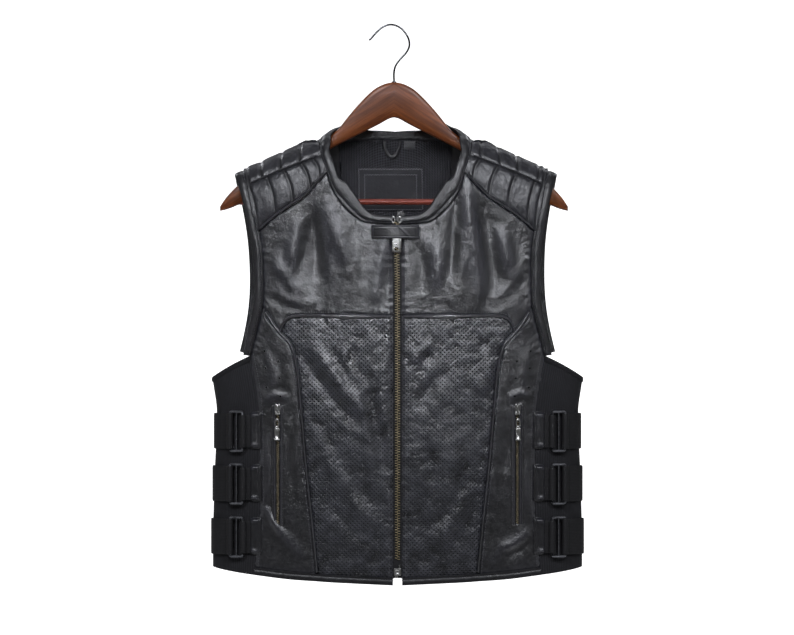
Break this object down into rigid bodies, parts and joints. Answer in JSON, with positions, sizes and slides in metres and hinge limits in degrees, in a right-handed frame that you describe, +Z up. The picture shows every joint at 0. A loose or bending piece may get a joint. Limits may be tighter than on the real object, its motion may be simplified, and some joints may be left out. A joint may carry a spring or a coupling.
{
  "type": "leather vest on a wooden hanger",
  "caption": "Black leather vest with quilted shoulders, centre zip, zip pockets and buckled elastic side straps, hung shut on a wooden coat hanger with a wire hook.",
  "frame": {"origin": "inside of the hook's top, where the hanger hangs on a rail", "axes": "+Z up; the vest's front faces -Y; +X to the viewer's right, along the hanger"},
  "size_m": [0.4862, 0.0977, 0.7273],
  "materials": {
    "grain_leather": "black grain leather, satin",
    "pierced_leather": "black perforated leather",
    "stretch_cloth": "matte black knit",
    "elastic_webbing": "ribbed black elastic",
    "mesh_lining": "black mesh",
    "gunmetal": "black nickel plated, semi-gloss",
    "nickel": "bright nickel",
    "antique_brass": "antique",
    "mahogany": "stained, satin lacquer",
    "redwood": "stained, satin lacquer"
  },
  "bodies": {
    "garment": {"hanger_wood": "mahogany", "hanger_bar": "redwood", "hook": "nickel", "back": "grain_leather", "back_lining": "mesh_lining", "neck_binding": "grain_leather", "centre_zip": "antique_brass", "neck_tab": "grain_leather", "label_patch": "grain_leather", "size_tab": "stretch_cloth", "hang_loop": "stretch_cloth", "hem_back": "grain_leather", "armhole_binding_left": "grain_leather", "hem_front_left": "grain_leather", "front_upper_left": "grain_leather", "side_front_left": "grain_leather", "shoulder_front_row_left": "grain_leather", "shoulder_top_row_left": "grain_leather", "piping_front_left": "grain_leather", "piping_shoulder_lower_left": "grain_leather", "piping_shoulder_upper_left": "grain_leather", "piping_shoulder_rear_left": "grain_leather", "front_lower_left": "pierced_leather", "stretch_side_left": "stretch_cloth", "pocket_zip_left": "antique_brass", "buckle_left_1": "gunmetal", "strap_left_1": "elastic_webbing", "buckle_tab_left_1": "grain_leather", "buckle_left_2": "gunmetal", "strap_left_2": "elastic_webbing", "buckle_tab_left_2": "grain_leather", "buckle_left_3": "gunmetal", "strap_left_3": "elastic_webbing", "buckle_tab_left_3": "grain_leather", "armhole_binding_right": "grain_leather", "hem_front_right": "grain_leather", "front_upper_right": "grain_leather", "side_front_right": "grain_leather", "shoulder_front_row_right": "grain_leather", "shoulder_top_row_right": "grain_leather", "piping_front_right": "grain_leather", "piping_shoulder_lower_right": "grain_leather", "piping_shoulder_upper_right": "grain_leather", "piping_shoulder_rear_right": "grain_leather", "front_lower_right": "pierced_leather", "stretch_side_right": "stretch_cloth", "pocket_zip_right": "antique_brass", "buckle_right_1": "gunmetal", "strap_right_1": "elastic_webbing", "buckle_tab_right_1": "grain_leather", "buckle_right_2": "gunmetal", "strap_right_2": "elastic_webbing", "buckle_tab_right_2": "grain_leather", "buckle_right_3": "gunmetal", "strap_right_3": "elastic_webbing", "buckle_tab_right_3": "grain_leather"},
    "centre_pull": {"centre_pull": "nickel"},
    "pocket_pull_left": {"pocket_pull_left": "nickel"},
    "pocket_pull_right": {"pocket_pull_right": "nickel"}
  },
  "joints": [
    {"name": "centre_pull_swing", "type": "hinge", "parent": "garment", "child": "centre_pull", "pos_m": [0.00736, -0.04861, -0.2768], "axis": [-1, 0, 0], "range_deg": [0, 35]},
    {"name": "pocket_pull_left_swing", "type": "hinge", "parent": "garment", "child": "pocket_pull_left", "pos_m": [-0.14705, -0.04847, -0.5099], "axis": [-1, 0, 0], "range_deg": [0, 150]},
    {"name": "pocket_pull_right_swing", "type": "hinge", "parent": "garment", "child": "pocket_pull_right", "pos_m": [0.16405, -0.04847, -0.5099], "axis": [-1, 0, 0], "range_deg": [0, 150]}
  ]
}
